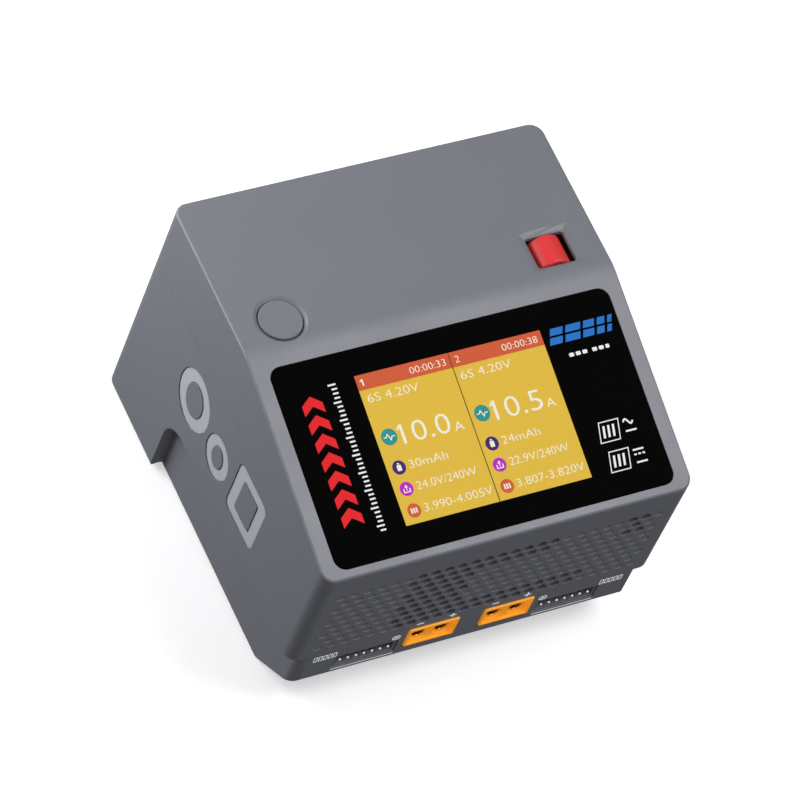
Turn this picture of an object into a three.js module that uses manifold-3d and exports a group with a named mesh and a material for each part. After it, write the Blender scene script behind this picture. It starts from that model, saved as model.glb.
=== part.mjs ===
// A two-channel balance charger for drone and remote control batteries, in millimetres, +Z up.
// The case is modelled with x = 0 in its middle, y = 0 on its front face and z = 0 on its underside.
// The last lines move it so that the origin is on the ground below the middle of the case.
import * as THREE from 'three';
import { mergeVertices } from 'three/addons/utils/BufferGeometryUtils.js';
import Module from 'manifold-3d';

const wasm = await Module();
wasm.setup();

// ---------------------------------------------------------------- driving dimensions
const WIDTH = 114.8;
const DEPTH = 113.8;
const HEIGHT = 83.8;
const CORNER_R = 4;
const WALL = 2.6;
const GAP = 0.3; // clearance between touching pieces

const SLOPE_DEG = 15.26; // tilt of the display face
const BEND_Y = 63.75; // where the level top meets the display face
const CHAMFER_Z = 12.4; // the front face ends here and a chamfer runs back under the case
const CHAMFER_Y = 16.25;

const BASE_INSET = 3.7; // the lower band is narrower than the case on each side
const BASE_CORNER_R = 3.2;
const LEDGE_Z = 25;
const REAR_FOOT_Y = 82.2; // behind this the case keeps its full width down to the ground
const RECESS_R = 9;
const SEAM_Z = 61; // parting line between the two shells along the sides and rear
const FRONT_SEAM_DROP = 1.9; // on the front the parting line runs this far below the display face

const GLASS_W = 105.2;
const GLASS_L = 58;
const GLASS_R = 3.4;
const GLASS_START = 5.45; // from the bend down the slope
const GLASS_T = 1.1;
const GLASS_SUNK = 0.15;
const LCD_W = 64.8;
const LCD_L = 49.6;
const LCD_T = 2.8;

const BUTTON_X = -42.9;
const BUTTON_Y = 71.9;
const BUTTON_R = 6.3;
const BUTTON_BEVEL_R = 7.45;

const ROLLER_X = 42.3;
const ROLLER_Y = 73.65;
const ROLLER_R = 5.5;
const ROLLER_L = 9.4;
const ROLLER_Z = 78.1;
const WELL_W = 12.2;
const WELL_L = 10.1;
const WELL_FLARE = 1.4; // the well's mouth is this many times as wide as its bottom
const WELL_FLARE_T = 1.3;

const CONTROL_BOARD_TOP = 65.6;
const BOARD_T = 1.6;

const VENT_COLUMNS = 25;
const VENT_ROWS = 9;
const VENT_PITCH_X = 4.125;
const VENT_PITCH_Z = 3.3;
const VENT_TOP_Z = 55.7;
const VENT_R = 1.5;

const POWER_SOCKET_X = 11.85;
const POWER_SOCKET_Z = 20.8;
const POWER_SOCKET_W = 15.8;
const POWER_SOCKET_H = 8.5;
const POWER_SOCKET_L = 16.2;
const POWER_SOCKET_PROUD = 0.5;
const POWER_SOCKET_CUT = 0.5; // the two corners at low x are cut off, so that a plug fits one way round
const BORE_R = 2.75;
const CONTACT_PITCH = 7.2;

const BALANCE_X = 31.8;
const BALANCE_Z = 17.9;
const BALANCE_PINS = 7;
const BALANCE_PITCH = 2.5;
const BALANCE_W = 19.8;
const BALANCE_H = 5.6;

const PANEL_BACK = DEPTH - WALL - 0.6; // outer face of the rear panel
const PANEL_T = 2.2;
const FAN_SIZE = 60;
const FAN_T = 14;
const FAN_X = -21;
const FAN_Z = 38;
const FAN_BORE_R = 28.3;
const GUARD_RINGS = [8, 14.5, 21];
const GUARD_BAR = 1.8;
const GUARD_INSET = 0.4;
const INLET_X = 32;
const INLET_Z = 54;
const DC_Z = 21;
const USB_Z = 34.5;

const POST_X = 46;
const POST_FRONT_Y = 22;
const POST_REAR_Y = 88.5;
const POST_R = 3.5;
const SCREW_HOLE_R = 1.8;
const SCREW_SHANK_R = 1.45;
const SCREW_HEAD_R = 3;

const MAIN_BOARD_TOP = 7.8;
const HEAT_SINK = { x: -20, y: 48, width: 38, length: 38, base: 5, fins: 7, fin: 1.6, finHeight: 26 };
const TRANSFORMER = { x: 12, y: 48 };
const CAPACITOR_X = 33;
const INDUCTOR_Y = 80;

const BADGE_Z = 43.5;
const BADGE_T = 0.6;
const BADGE_FACE_X = -WIDTH / 2 + 0.3; // the badge's face lies a little below the left wall

const PAD_R = 6;
const PAD_X = 40;
const PAD_FRONT_Y = 33;
const PAD_REAR_Y = 102;
const PAD_PROUD = 1.2;
const PAD_POCKET = 1;

// ---------------------------------------------------------------- geometry helpers
function solid(geometry) {
  const bare = new THREE.BufferGeometry();
  bare.setAttribute('position', geometry.getAttribute('position').clone());
  if (geometry.index) bare.setIndex(geometry.index.clone());
  const merged = mergeVertices(bare, 1e-4);
  return new wasm.Manifold(new wasm.Mesh({
    numProp: 3,
    vertProperties: new Float32Array(merged.attributes.position.array),
    triVerts: new Uint32Array(merged.index.array),
  }));
}

function geometryOf(manifold) {
  const mesh = manifold.getMesh();
  const geometry = new THREE.BufferGeometry();
  geometry.setAttribute('position', new THREE.BufferAttribute(new Float32Array(mesh.vertProperties), 3));
  geometry.setIndex(new THREE.BufferAttribute(new Uint32Array(mesh.triVerts), 1));
  return geometry;
}

function union(parts) {
  return parts.reduce((whole, part) => whole.add(part));
}

function outlineShape(points) {
  return new THREE.Shape(points.map(([u, v]) => new THREE.Vector2(u, v)));
}

function roundedShape(width, height, radius, u = 0, v = 0) {
  const [w, h] = [width / 2 - radius, height / 2 - radius];
  const shape = new THREE.Shape();
  shape.absarc(u + w, v - h, radius, -Math.PI / 2, 0);
  shape.absarc(u + w, v + h, radius, 0, Math.PI / 2);
  shape.absarc(u - w, v + h, radius, Math.PI / 2, Math.PI);
  shape.absarc(u - w, v - h, radius, Math.PI, Math.PI * 1.5);
  shape.closePath();
  return shape;
}

// A shape swept along an axis. Its u, v are y, z for 'x', x, z for 'y' and x, y for 'z'.
function prism(shape, axis, from, to, curveSegments = 4) {
  const geometry = new THREE.ExtrudeGeometry(shape, { depth: to - from, bevelEnabled: false, curveSegments });
  const place = new THREE.Matrix4();
  if (axis === 'x') place.set(0, 0, 1, from, 1, 0, 0, 0, 0, 1, 0, 0, 0, 0, 0, 1);
  if (axis === 'y') place.set(1, 0, 0, 0, 0, 0, -1, to, 0, 1, 0, 0, 0, 0, 0, 1);
  if (axis === 'z') place.makeTranslation(0, 0, from);
  return solid(geometry.applyMatrix4(place));
}

function box(x0, x1, y0, y1, z0, z1) {
  const geometry = new THREE.BoxGeometry(x1 - x0, y1 - y0, z1 - z0);
  geometry.translate((x0 + x1) / 2, (y0 + y1) / 2, (z0 + z1) / 2);
  return solid(geometry);
}

function boxAt(x, y, z, width, depth, height) {
  return box(x - width / 2, x + width / 2, y - depth / 2, y + depth / 2, z, z + height);
}

// A cylinder or cone along 'y' or 'z'; a, b are its two other coordinates, in x, y, z order.
function rod(axis, radius, from, to, a, b, sides = 24, radiusTo = radius) {
  const geometry = new THREE.CylinderGeometry(radiusTo, radius, to - from, sides);
  geometry.translate(0, (from + to) / 2, 0);
  if (axis === 'y') geometry.translate(a, 0, b);
  if (axis === 'z') geometry.rotateX(Math.PI / 2).translate(a, b, 0);
  return solid(geometry);
}

// Pieces of the display are drawn flat: x across, y up the slope from the bend, z out of the face.
function onSlope(part) {
  return part.rotate([SLOPE_DEG, 0, 0]).translate([0, BEND_Y, HEIGHT]);
}

// ---------------------------------------------------------------- the case as one solid
const slope = THREE.MathUtils.degToRad(SLOPE_DEG);
const FRONT_TOP_Z = HEIGHT - BEND_Y * Math.tan(slope);

// Side outline of the case, moved inwards by inset.
function sideOutline(inset) {
  const chamfer = Math.atan2(CHAMFER_Z, CHAMFER_Y);
  const bend = inset * Math.tan(slope / 2);
  const topFront = FRONT_TOP_Z + inset * Math.tan(slope) - inset / Math.cos(slope);
  const chamferRise = CHAMFER_Z - inset * Math.tan(chamfer) + inset / Math.cos(chamfer);
  const chamferRun = CHAMFER_Y + inset * Math.tan(chamfer / 2);
  return outlineShape([
    [chamferRun, inset],
    [DEPTH - inset, inset],
    [DEPTH - inset, HEIGHT - inset],
    [BEND_Y + bend, HEIGHT - inset],
    [inset, topFront],
    [inset, chamferRise],
  ]);
}

function recess(side) {
  const shape = new THREE.Shape();
  shape.moveTo(-1, -1);
  shape.lineTo(REAR_FOOT_Y, -1);
  shape.lineTo(REAR_FOOT_Y, LEDGE_Z - RECESS_R);
  shape.absarc(REAR_FOOT_Y - RECESS_R, LEDGE_Z - RECESS_R, RECESS_R, 0, Math.PI / 2);
  shape.lineTo(-1, LEDGE_Z);
  shape.closePath();
  const inner = WIDTH / 2 - BASE_INSET - 6;
  return side > 0 ? prism(shape, 'x', inner, WIDTH / 2 + 1, 8) : prism(shape, 'x', -WIDTH / 2 - 1, -inner, 8);
}

function caseSolid() {
  const full = prism(roundedShape(WIDTH, DEPTH, CORNER_R, 0, DEPTH / 2), 'z', -1, HEIGHT + 1);
  const bandWidth = WIDTH - 2 * BASE_INSET;
  const bandShape = roundedShape(bandWidth, DEPTH - 2, BASE_CORNER_R, 0, DEPTH / 2 - 1);
  const band = prism(bandShape, 'z', -1, LEDGE_Z + 2);
  const profile = prism(sideOutline(0), 'x', -WIDTH, WIDTH);
  return full.subtract(recess(1)).subtract(recess(-1)).add(band).intersect(profile);
}

function cavitySolid() {
  const wide = WIDTH / 2 - WALL;
  const narrow = wide - BASE_INSET;
  const rear = DEPTH - WALL;
  const rooms = union([
    box(-wide, wide, 0, rear, LEDGE_Z + WALL, HEIGHT),
    box(-narrow, narrow, 0, rear, 0, LEDGE_Z + WALL + 1),
    box(-wide, wide, REAR_FOOT_Y + WALL, rear, 0, LEDGE_Z + WALL + 1),
  ]);
  return rooms.intersect(prism(sideOutline(WALL), 'x', -WIDTH, WIDTH));
}

const rearOpening = box(-50, 50, DEPTH - WALL - 1, DEPTH + 1, 6, 78);
const outerCase = caseSolid();
const cavity = cavitySolid();

const postPlaces = [];
for (const x of [-POST_X, POST_X]) {
  for (const y of [POST_FRONT_Y, POST_REAR_Y]) postPlaces.push([x, y]);
}

// ---------------------------------------------------------------- shells
// The front wall belongs to the lower shell up to the edge of the display face.
function frontTab(grow) {
  const half = WIDTH / 2 - CORNER_R - 0.5 + grow;
  return box(-half, half, -2, WALL + 0.2 + grow, SEAM_Z - 2, FRONT_TOP_Z - FRONT_SEAM_DROP + grow);
}

function upperShell() {
  const above = box(-WIDTH, WIDTH, -1, DEPTH + 1, SEAM_Z + GAP / 2, HEIGHT + 1).subtract(frontTab(GAP));
  const posts = union(postPlaces.map(([x, y]) => rod('z', POST_R, WALL + GAP, HEIGHT, x, y, 16)));
  let shell = outerCase.intersect(above).subtract(cavity.subtract(posts)).subtract(rearOpening);
  const lowerPosts = postPlaces.map(([x, y]) => rod('z', POST_R, WALL + GAP, SEAM_Z + 3, x, y, 16));
  shell = shell.add(union(lowerPosts));
  for (const [x, y] of postPlaces) shell = shell.subtract(rod('z', SCREW_HOLE_R, 0, WALL + 14, x, y, 12));

  const glassMiddle = -GLASS_START - GLASS_L / 2;
  const pocketDepth = GLASS_SUNK + GLASS_T + GAP;
  const pocketShape = roundedShape(GLASS_W + 2 * GAP, GLASS_L + 2 * GAP, GLASS_R + GAP, 0, glassMiddle);
  const pocket = prism(pocketShape, 'z', -pocketDepth, 5, 5);
  const windowCut = boxAt(0, glassMiddle, -WALL - 3, LCD_W + 1.2, LCD_L + 1.2, 5);
  shell = shell.subtract(onSlope(pocket)).subtract(onSlope(windowCut));

  const holeR = BUTTON_R + GAP;
  const bevelBottom = HEIGHT - (BUTTON_BEVEL_R - holeR) * 0.8;
  shell = shell.subtract(rod('z', holeR, HEIGHT - 6, HEIGHT + 1, BUTTON_X, BUTTON_Y, 32));
  const bevel = rod('z', holeR, bevelBottom, HEIGHT + 0.01, BUTTON_X, BUTTON_Y, 32, BUTTON_BEVEL_R);
  shell = shell.subtract(bevel);

  const well = boxAt(ROLLER_X, ROLLER_Y, HEIGHT - 6, WELL_W, WELL_L, 8);
  return shell.subtract(well).subtract(wellFunnel());
}

// The sloping sides of the roller's well: a four-sided funnel that ends a little above the top surface.
function wellFunnel() {
  const lift = 0.2;
  const mouth = 1 + ((WELL_FLARE - 1) * (WELL_FLARE_T + lift)) / WELL_FLARE_T;
  const funnel = new THREE.CylinderGeometry(mouth * Math.SQRT1_2, Math.SQRT1_2, WELL_FLARE_T + lift, 4);
  funnel.rotateY(Math.PI / 4).rotateX(Math.PI / 2).scale(WELL_W, WELL_L, 1);
  return solid(funnel.translate(ROLLER_X, ROLLER_Y, HEIGHT - (WELL_FLARE_T - lift) / 2));
}

function ventIsOpen(row, x) {
  const behindDuct = x > -28 && x < -8;
  const upperBar = row < 2 && x > -28 && x < 18;
  const lowerBar = row > 6 && x > -28 && x < 31;
  const corner = row < 3 && x > 40 && x < 47;
  return behindDuct || upperBar || lowerBar || corner;
}

function openVents() {
  const holes = [];
  for (let row = 0; row < VENT_ROWS; row++) {
    const shifted = row % 2;
    for (let column = 0; column < VENT_COLUMNS - shifted; column++) {
      const x = (column - (VENT_COLUMNS - 1 - shifted) / 2) * VENT_PITCH_X;
      const z = VENT_TOP_Z - row * VENT_PITCH_Z;
      if (ventIsOpen(row, x)) holes.push(rod('y', VENT_R, -1, WALL + 1, x, z, 6));
    }
  }
  return union(holes);
}

// The opening in the front wall for a socket of that width and height, with its clearance.
function frontHole(x, z, width, height) {
  return boxAt(x, 0, z - height / 2 - GAP, width + 2 * GAP, 12, height + 2 * GAP);
}

function lowerShell() {
  const below = box(-WIDTH, WIDTH, -1, DEPTH + 1, -1, SEAM_Z - GAP / 2).add(frontTab(0));
  let shell = outerCase.intersect(below).subtract(cavity).subtract(rearOpening).subtract(openVents());
  for (const side of [-1, 1]) {
    shell = shell.subtract(frontHole(side * POWER_SOCKET_X, POWER_SOCKET_Z, POWER_SOCKET_W, POWER_SOCKET_H));
    shell = shell.subtract(frontHole(side * BALANCE_X, BALANCE_Z, BALANCE_W, BALANCE_H));
  }
  for (const [x, y] of postPlaces) {
    const counterbore = rod('z', SCREW_HEAD_R + 0.4, -1, 1.6, x, y, 20);
    shell = shell.subtract(counterbore).subtract(rod('z', SCREW_HOLE_R, 0, WALL + 1, x, y, 12));
  }
  for (const [x, y] of padPlaces()) shell = shell.subtract(rod('z', PAD_R + GAP, -1, PAD_POCKET, x, y));
  return shell.subtract(badgePockets());
}

function padPlaces() {
  const places = [];
  for (const x of [-PAD_X, PAD_X]) {
    for (const y of [PAD_FRONT_Y, PAD_REAR_Y]) places.push([x, y]);
  }
  return places;
}

function rearPanel() {
  const front = PANEL_BACK - PANEL_T;
  const edge = WIDTH / 2 - WALL - GAP;
  let panel = box(-edge, edge, front, PANEL_BACK, WALL + GAP, HEIGHT - WALL - GAP);
  panel = panel.subtract(rod('y', FAN_BORE_R - 0.8, front - 1, PANEL_BACK + 1, FAN_X, FAN_Z, 36));
  const [guardFront, guardBack] = [front + GUARD_INSET, PANEL_BACK - GUARD_INSET];
  for (const radius of GUARD_RINGS) {
    const ring = rod('y', radius + GUARD_BAR / 2, guardFront, guardBack, FAN_X, FAN_Z, 32);
    panel = panel.add(ring.subtract(rod('y', radius - GUARD_BAR / 2, front, PANEL_BACK, FAN_X, FAN_Z, 32)));
  }
  for (const turn of [45, 135]) {
    const bar = boxAt(0, 0, -FAN_BORE_R, 2, guardBack - guardFront, 2 * FAN_BORE_R);
    panel = panel.add(bar.rotate([0, turn, 0]).translate([FAN_X, (front + PANEL_BACK) / 2, FAN_Z]));
  }
  const [dcWidth, dcHeight] = [POWER_SOCKET_W + 2 * GAP, POWER_SOCKET_H + 2 * GAP];
  const cuts = [
    boxAt(INLET_X, PANEL_BACK, INLET_Z - 10.1, 27.2, 10, 20.2),
    boxAt(INLET_X, PANEL_BACK, DC_Z - dcHeight / 2, dcWidth, 10, dcHeight),
    boxAt(INLET_X, PANEL_BACK, USB_Z - 1.9, 9.6, 10, 3.8),
  ];
  for (const [x, z] of fanScrewPlaces()) {
    cuts.push(rod('y', SCREW_HOLE_R, front - 1, PANEL_BACK + 1, x, z, 12));
  }
  return panel.subtract(union(cuts));
}

// ---------------------------------------------------------------- display
function displayGlass() {
  const shape = roundedShape(GLASS_W, GLASS_L, GLASS_R, 0, -GLASS_START - GLASS_L / 2);
  return onSlope(prism(shape, 'z', -GLASS_SUNK - GLASS_T, -GLASS_SUNK, 5));
}

const LCD_TOP = -GLASS_SUNK - GLASS_T - GAP;
const DISPLAY_BOARD_TOP = LCD_TOP - LCD_T - GAP;

function lcdModule() {
  const middle = -GLASS_START - GLASS_L / 2;
  return onSlope(boxAt(0, middle, LCD_TOP - LCD_T, LCD_W, LCD_L, LCD_T));
}

function displayBoard() {
  const middle = -GLASS_START - GLASS_L / 2;
  return onSlope(boxAt(0, middle, DISPLAY_BOARD_TOP - BOARD_T, 83, 52, BOARD_T));
}

// ---------------------------------------------------------------- channel button
function channelButton() {
  const top = HEIGHT - 0.1;
  const flangeTop = HEIGHT - WALL - GAP;
  return union([
    rod('z', BUTTON_R, flangeTop - 0.5, top, BUTTON_X, BUTTON_Y, 32),
    rod('z', BUTTON_R + 1.1, flangeTop - 1.4, flangeTop, BUTTON_X, BUTTON_Y),
    rod('z', 2, CONTROL_BOARD_TOP + 4.8, flangeTop - 1, BUTTON_X, BUTTON_Y, 12),
  ]);
}

function pressSwitch(x, y, height, plunger) {
  const bottom = CONTROL_BOARD_TOP + GAP;
  return union([
    boxAt(x, y, bottom, 6, 6, height),
    rod('z', 1.7, bottom + height - 0.5, bottom + height + plunger, x, y, 12),
  ]);
}

function controlBoard() {
  return box(-52, 52, 64, 84, CONTROL_BOARD_TOP - BOARD_T, CONTROL_BOARD_TOP);
}

// ---------------------------------------------------------------- scroll roller
const CARRIER_BASE_Z = CONTROL_BOARD_TOP + 5.2;
const CARRIER_EAR_T = 1.4;
const CARRIER_EAR_Y = ROLLER_L / 2 + 0.5; // from the roller's middle to an ear's inner face

function scrollRoller() {
  const half = ROLLER_L / 2;
  const edge = 0.5;
  const profile = [
    [1.35, -half],
    [ROLLER_R - edge, -half],
    [ROLLER_R, -half + edge],
    [ROLLER_R, half - edge],
    [ROLLER_R - edge, half],
    [1.35, half],
    [1.35, -half],
  ].map(([r, y]) => new THREE.Vector2(r, y));
  const geometry = new THREE.LatheGeometry(profile, 36);
  return solid(geometry.translate(ROLLER_X, ROLLER_Y, ROLLER_Z));
}

function rollerAxle() {
  const reach = CARRIER_EAR_Y + CARRIER_EAR_T + 0.4;
  return rod('y', 1, ROLLER_Y - reach, ROLLER_Y + reach, ROLLER_X, ROLLER_Z, 12);
}

function rollerCarrier() {
  const ears = [];
  for (const side of [-1, 1]) {
    const y = ROLLER_Y + side * (CARRIER_EAR_Y + CARRIER_EAR_T / 2);
    ears.push(boxAt(ROLLER_X, y, CARRIER_BASE_Z, 9, CARRIER_EAR_T, ROLLER_Z + 2.4 - CARRIER_BASE_Z));
  }
  const span = 2 * (CARRIER_EAR_Y + CARRIER_EAR_T);
  const base = boxAt(ROLLER_X, ROLLER_Y, CARRIER_BASE_Z, 9, span, 1.4);
  const bore = rod('y', 1.3, ROLLER_Y - 12, ROLLER_Y + 12, ROLLER_X, ROLLER_Z, 12);
  return union([base, ...ears]).subtract(bore);
}

function rollerEncoder() {
  const y = ROLLER_Y + CARRIER_EAR_Y + CARRIER_EAR_T + 0.7;
  return box(ROLLER_X - 4.5, ROLLER_X + 4.5, y, y + 3.2, CARRIER_BASE_Z, ROLLER_Z + 2.4);
}

// ---------------------------------------------------------------- power sockets and contacts
// mouth is the y of the open face and inward, 1 or -1, the direction of its depth.
function powerSocket(x, z, mouth, inward) {
  const [w, h, cut] = [POWER_SOCKET_W / 2, POWER_SOCKET_H / 2, POWER_SOCKET_CUT];
  const outline = outlineShape([
    [x - w + cut, z - h],
    [x + w, z - h],
    [x + w, z + h],
    [x - w + cut, z + h],
    [x - w, z + h - cut],
    [x - w, z - h + cut],
  ]);
  const [from, to] = [mouth, mouth + inward * POWER_SOCKET_L].sort((a, b) => a - b);
  let body = prism(outline, 'y', from, to);
  for (const side of [-1, 1]) {
    body = body.subtract(rod('y', BORE_R, from - 1, to + 1, x + (side * CONTACT_PITCH) / 2, z, 20));
  }
  return body;
}

function contactTube(x, z, mouth, inward) {
  const from = mouth + inward * 1.4;
  const to = mouth + inward * (POWER_SOCKET_L + 3);
  const tube = rod('y', 2.4, Math.min(from, to), Math.max(from, to), x, z, 16);
  const boreEnd = mouth + inward * 12;
  const boreStart = from - inward;
  return tube.subtract(rod('y', 1.8, Math.min(boreStart, boreEnd), Math.max(boreStart, boreEnd), x, z, 16));
}

function balanceSocket(x) {
  const z0 = BALANCE_Z - BALANCE_H / 2;
  let body = box(x - BALANCE_W / 2, x + BALANCE_W / 2, 0.3, 8.6, z0, z0 + BALANCE_H);
  const mouthHalf = BALANCE_W / 2 - 1;
  body = body.subtract(box(x - mouthHalf, x + mouthHalf, -1, 7.2, z0 + 0.7, z0 + BALANCE_H - 0.7));
  for (let pin = 0; pin < BALANCE_PINS; pin++) {
    body = body.subtract(boxAt(balancePinX(x, pin), 8, BALANCE_Z - 0.65, 1.3, 3, 1.3));
  }
  return body;
}

function balancePinX(x, pin) {
  return x + (pin - (BALANCE_PINS - 1) / 2) * BALANCE_PITCH;
}

function balancePins(x) {
  const strip = box(x - 8.6, x + 8.6, 8.9, 11, BALANCE_Z - 1.6, BALANCE_Z + 1.6);
  const pins = [];
  for (let pin = 0; pin < BALANCE_PINS; pin++) {
    const pinX = balancePinX(x, pin);
    pins.push(box(pinX - 0.32, pinX + 0.32, 0.1, 9.3, BALANCE_Z - 0.32, BALANCE_Z + 0.32));
  }
  return union([strip, ...pins]);
}

// ---------------------------------------------------------------- mains inlet, data port, fan
function acInlet() {
  const y = PANEL_BACK + GAP;
  const flangeShape = roundedShape(31, 24, 1.5, INLET_X, INLET_Z);
  const cut = 4;
  const hood = (w, h) => outlineShape([
    [INLET_X - w, INLET_Z - h],
    [INLET_X + w, INLET_Z - h],
    [INLET_X + w, INLET_Z + h - cut],
    [INLET_X + w - cut, INLET_Z + h],
    [INLET_X - w + cut, INLET_Z + h],
    [INLET_X - w, INLET_Z + h - cut],
  ]);
  const body = prism(flangeShape, 'y', y, y + 1.8).add(prism(hood(13.3, 9.8), 'y', y - 18, y + 1));
  let inlet = body.subtract(prism(hood(11.3, 7.8), 'y', y - 15.5, y + 3));
  for (const [x, z] of bladePlaces()) inlet = inlet.subtract(boxAt(x, y - 16, z - 2.3, 2.6, 8, 4.6));
  return inlet;
}

function bladePlaces() {
  return [[INLET_X - 7, INLET_Z - 2], [INLET_X, INLET_Z + 2], [INLET_X + 7, INLET_Z - 2]];
}

function acInletBlades() {
  const back = PANEL_BACK + GAP - 18 - GAP;
  const carrier = box(INLET_X - 9.6, INLET_X + 9.6, back - 1.8, back, INLET_Z - 5, INLET_Z + 5);
  const blades = bladePlaces().map(([x, z]) => box(x - 1, x + 1, back - 1, back + 16.5, z - 2, z + 2));
  return union([carrier, ...blades]);
}

function usbPort() {
  const y = PANEL_BACK + 0.4;
  const shell = prism(roundedShape(9, 3.2, 1.5, INLET_X, USB_Z), 'y', y - 7.4, y);
  const mouth = prism(roundedShape(8.2, 2.4, 1.1, INLET_X, USB_Z), 'y', y - 6.4, y + 1);
  const tongue = box(INLET_X - 3.2, INLET_X + 3.2, y - 7, y - 1, USB_Z - 0.35, USB_Z + 0.35);
  return shell.subtract(mouth).add(tongue);
}

const FAN_BACK = PANEL_BACK - PANEL_T - GAP;
const FAN_FRONT = FAN_BACK - FAN_T;

function fanScrewPlaces() {
  const places = [];
  for (const dx of [-25, 25]) {
    for (const dz of [-25, 25]) places.push([FAN_X + dx, FAN_Z + dz]);
  }
  return places;
}

function fanFrame() {
  const bodyShape = roundedShape(FAN_SIZE, FAN_SIZE, 3, FAN_X, FAN_Z);
  let frame = prism(bodyShape, 'y', FAN_FRONT, FAN_BACK);
  frame = frame.subtract(rod('y', FAN_BORE_R, FAN_FRONT - 1, FAN_BACK + 1, FAN_X, FAN_Z, 40));
  frame = frame.add(rod('y', 12, FAN_FRONT, FAN_FRONT + 2.2, FAN_X, FAN_Z));
  for (let strut = 0; strut < 3; strut++) {
    const arm = box(-1.5, 1.5, FAN_FRONT, FAN_FRONT + 2.2, 8, FAN_BORE_R + 1);
    frame = frame.add(arm.rotate([0, 120 * strut + 30, 0]).translate([FAN_X, 0, FAN_Z]));
  }
  frame = frame.subtract(rod('y', 1.9, FAN_FRONT - 1, FAN_FRONT + 5, FAN_X, FAN_Z, 16));
  for (const [x, z] of fanScrewPlaces()) {
    frame = frame.subtract(rod('y', SCREW_HOLE_R, FAN_BACK - 9, FAN_BACK + 1, x, z, 12));
  }
  return frame;
}

function fanRotor() {
  const [from, to] = [FAN_FRONT + 2.7, FAN_BACK - 0.8];
  const parts = [rod('y', 12.5, from, to, 0, 0, 28), rod('y', 1.5, FAN_FRONT + 0.5, from + 1, 0, 0, 16)];
  const blades = 7;
  for (let blade = 0; blade < blades; blade++) {
    const vane = box(-6.2, 6.2, -0.6, 0.6, 11.5, FAN_BORE_R - 1.2).rotate([0, 0, 38]);
    parts.push(vane.translate([0, (from + to) / 2, 0]).rotate([0, (360 / blades) * blade, 0]));
  }
  return union(parts).translate([FAN_X, 0, FAN_Z]);
}

// ---------------------------------------------------------------- power electronics
function mainBoard() {
  return box(-41.5, 41.5, 20, 92, MAIN_BOARD_TOP - BOARD_T, MAIN_BOARD_TOP);
}

function heatSink() {
  const [x, y, z] = [HEAT_SINK.x, HEAT_SINK.y, MAIN_BOARD_TOP + GAP];
  const parts = [boxAt(x, y, z, HEAT_SINK.width, HEAT_SINK.length, HEAT_SINK.base)];
  const pitch = (HEAT_SINK.width - HEAT_SINK.fin) / (HEAT_SINK.fins - 1);
  for (let fin = 0; fin < HEAT_SINK.fins; fin++) {
    const finX = x + (fin - (HEAT_SINK.fins - 1) / 2) * pitch;
    parts.push(boxAt(finX, y, z + HEAT_SINK.base - 1, HEAT_SINK.fin, HEAT_SINK.length, HEAT_SINK.finHeight));
  }
  return union(parts);
}

function transformer() {
  const [x, y, z] = [TRANSFORMER.x, TRANSFORMER.y, MAIN_BOARD_TOP + GAP];
  const core = boxAt(x, y, z + 3, 24, 30, 20).subtract(boxAt(x, y, z + 7, 26, 19, 12));
  return union([core, boxAt(x, y, z, 20, 21, 26)]);
}

// A body turned from a profile of [radius, height] that stands on the main board.
function turnedOnBoard(profile, x, y, sides) {
  const geometry = new THREE.LatheGeometry(profile.map(([r, h]) => new THREE.Vector2(r, h)), sides);
  return solid(geometry.rotateX(Math.PI / 2).translate(x, y, MAIN_BOARD_TOP + GAP));
}

function bulkCapacitor(y) {
  const profile = [[0, 0], [7.6, 0], [8, 0.6], [8, 3], [7.6, 3.5], [8, 4], [8, 29.4], [7.6, 30], [0, 30]];
  return turnedOnBoard(profile, CAPACITOR_X, y, 20);
}

function toroidInductor(x) {
  const outside = [[4.5, 0], [9.2, 0], [10, 0.9], [10, 8.6], [9.2, 9.5]];
  const inside = [[4.5, 9.5], [3.8, 8.6], [3.8, 0.9], [4.5, 0]];
  return turnedOnBoard([...outside, ...inside], x, INDUCTOR_Y, 24);
}

// ---------------------------------------------------------------- side badges
// Three plain shapes in pockets of the left wall: a large ring, a small ring and a square frame.
const RING_LARGE = { y: 75.5, z: BADGE_Z, width: 17.8, height: 21, band: 4.2 };
const RING_SMALL = { y: 58.2, z: 40.7, width: 12.8, height: 15.2, band: 3.4 };
const SQUARE = { y: 40, z: BADGE_Z, width: 16.8, height: 20.8, band: 4, radius: 2.5 };

function ringShape({ y, z, width, height, band }, grow) {
  const shape = new THREE.Shape();
  shape.absellipse(y, z, width / 2 + grow, height / 2 + grow, 0, Math.PI * 2, false, 0);
  const inner = band + grow;
  const hole = new THREE.Path();
  hole.absellipse(y, z, width / 2 - inner, height / 2 - inner, 0, Math.PI * 2, true, 0);
  shape.holes.push(hole);
  return shape;
}

function squareShape({ y, z, width, height, band, radius }, grow) {
  const shape = roundedShape(width + 2 * grow, height + 2 * grow, radius + grow, y, z);
  const inside = band + grow;
  const hole = roundedShape(width - 2 * inside, height - 2 * inside, 0.6, y, z);
  shape.holes.push(new THREE.Path(hole.getPoints(6).reverse()));
  return shape;
}

function badgePiece(shape) {
  return prism(shape, 'x', BADGE_FACE_X, BADGE_FACE_X + BADGE_T, 12);
}

function badgePockets() {
  const end = BADGE_FACE_X + BADGE_T + GAP;
  const shapes = [ringShape(RING_LARGE, GAP), ringShape(RING_SMALL, GAP), squareShape(SQUARE, GAP)];
  return union(shapes.map((shape) => prism(shape, 'x', -WIDTH / 2 - 1, end, 12)));
}

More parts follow.
